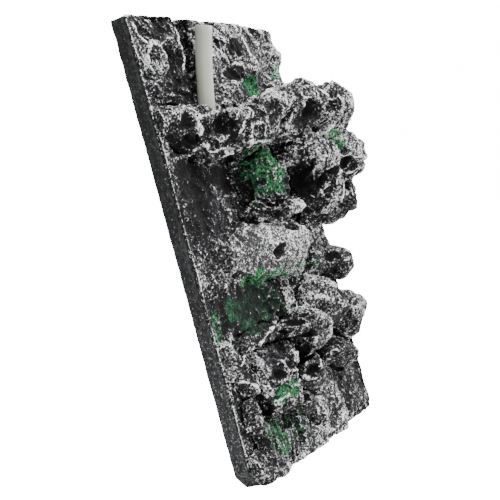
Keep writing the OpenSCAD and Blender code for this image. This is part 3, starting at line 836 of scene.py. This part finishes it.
def make_hose(sides=40):
    """A smooth tube with a square-cut, slightly softened end."""
    line = hose_line()
    mesh = bpy.data.meshes.new("hose.tube")
    form = bmesh.new()

    def ring(place, radius, lift=0.0):
        depth, height, slope = place
        a = math.radians(slope)
        verts = []
        for k in range(sides):
            t = 2 * math.pi * k / sides
            y = depth + radius * math.sin(t) * math.cos(a) + lift * math.sin(a)
            z = height - radius * math.sin(t) * math.sin(a) + lift * math.cos(a)
            verts.append(form.verts.new((HOSE_X + radius * math.cos(t), FACE_Y - y, z)))
        return verts

    soften = 0.0004
    rings = [ring(line[0], HOSE_INNER)]
    rings += [ring(line[0], HOSE_OUTER)]
    rings += [ring(p, HOSE_OUTER) for p in line[1:-1]]
    rings += [ring(line[-1], HOSE_OUTER, -soften), ring(line[-1], HOSE_OUTER - soften)]
    rings += [ring(line[-1], HOSE_INNER + soften), ring(line[-1], HOSE_INNER, -soften)]
    rings += [ring(p, HOSE_INNER) for p in reversed(line[1:-1])]
    rings.append(rings[0])
    for lower, upper in zip(rings, rings[1:]):
        for k in range(sides):
            form.faces.new((lower[k], lower[(k + 1) % sides], upper[(k + 1) % sides], upper[k]))
    bmesh.ops.recalc_face_normals(form, faces=form.faces)
    form.to_mesh(mesh)
    form.free()
    mesh.shade_smooth()
    piece = bpy.data.objects.new("riser_hose.tube", mesh)
    bpy.context.scene.collection.objects.link(piece)
    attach(piece, body_of("riser_hose"))
    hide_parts("riser_hose")
    return piece


paint(make_hose(), silicone_material())


# ---- the studio ----


def make_floor():
    mesh = bpy.data.meshes.new("floor")
    size = 12.0
    corners = [(-size, -size, 0), (size, -size, 0), (size, size, 0), (-size, size, 0)]
    mesh.from_pydata(corners, [], [(0, 1, 2, 3)])
    floor = bpy.data.objects.new("floor", mesh)
    bpy.context.scene.collection.objects.link(floor)
    material = bpy.data.materials.new("floor")
    material.use_nodes = True
    matt = material.node_tree.nodes["Principled BSDF"]
    matt.inputs["Base Color"].default_value = (0.85, 0.85, 0.85, 1)
    matt.inputs["Roughness"].default_value = 0.9
    backdrop_white(material.node_tree, matt.outputs[0], "Material Output")
    paint(floor, material)


def backdrop_white(tree, lit, output):
    """Shows plain white to the camera, and lights the object as it would anyway."""
    bright = tree.nodes.new("ShaderNodeEmission" if output == "Material Output" else "ShaderNodeBackground")
    bright.inputs["Strength"].default_value = 20.0
    choice = tree.nodes.new("ShaderNodeMixShader")
    rays = tree.nodes.new("ShaderNodeLightPath")
    tree.links.new(rays.outputs["Is Camera Ray"], choice.inputs["Fac"])
    tree.links.new(lit, choice.inputs[1])
    tree.links.new(bright.outputs[0], choice.inputs[2])
    tree.links.new(choice.outputs[0], tree.nodes[output].inputs["Surface"])


def make_world():
    world = bpy.data.worlds.new("studio")
    bpy.context.scene.world = world
    world.use_nodes = True
    background = world.node_tree.nodes["Background"]
    background.inputs["Color"].default_value = (1, 1, 1, 1)
    background.inputs["Strength"].default_value = 0.8
    backdrop_white(world.node_tree, background.outputs[0], "World Output")


def add_light(name, place, target, size, power):
    lamp = bpy.data.lights.new(name, "AREA")
    lamp.size = size
    lamp.energy = power
    light = bpy.data.objects.new(name, lamp)
    bpy.context.scene.collection.objects.link(light)
    light.location = place
    light.rotation_euler = (Vector(target) - Vector(place)).to_track_quat("-Z", "Y").to_euler()


def make_camera():
    """Looks level from the front left, rolled so that the slab leans as it does in the picture."""
    azimuth = math.radians(61.9)
    roll = math.radians(15.3)
    forward = Vector((math.sin(azimuth), math.cos(azimuth), 0))
    side = forward.cross(Vector((0, 0, 1)))
    up = Vector((0, 0, 1)) * math.cos(roll) + side * math.sin(roll)
    right = forward.cross(up)
    camera = bpy.data.objects.new("camera", bpy.data.cameras.new("camera"))
    bpy.context.scene.collection.objects.link(camera)
    camera.matrix_world = Matrix((right, up, -forward)).transposed().to_4x4()
    camera.location = (-0.9178, -0.4813, 0.2076)
    camera.data.lens = 73.4
    camera.data.sensor_width = 36
    camera.data.clip_start = 0.01
    bpy.context.scene.camera = camera


make_floor()
make_world()
add_light("key", (0.1, -1.3, 1.7), (0, 0, 0.22), 0.6, 62)
add_light("side", (1.5, -1.2, 0.7), (0, 0, 0.22), 0.8, 26)
add_light("fill", (-1.6, -0.9, 0.5), (0, 0, 0.22), 1.2, 9)
make_camera()
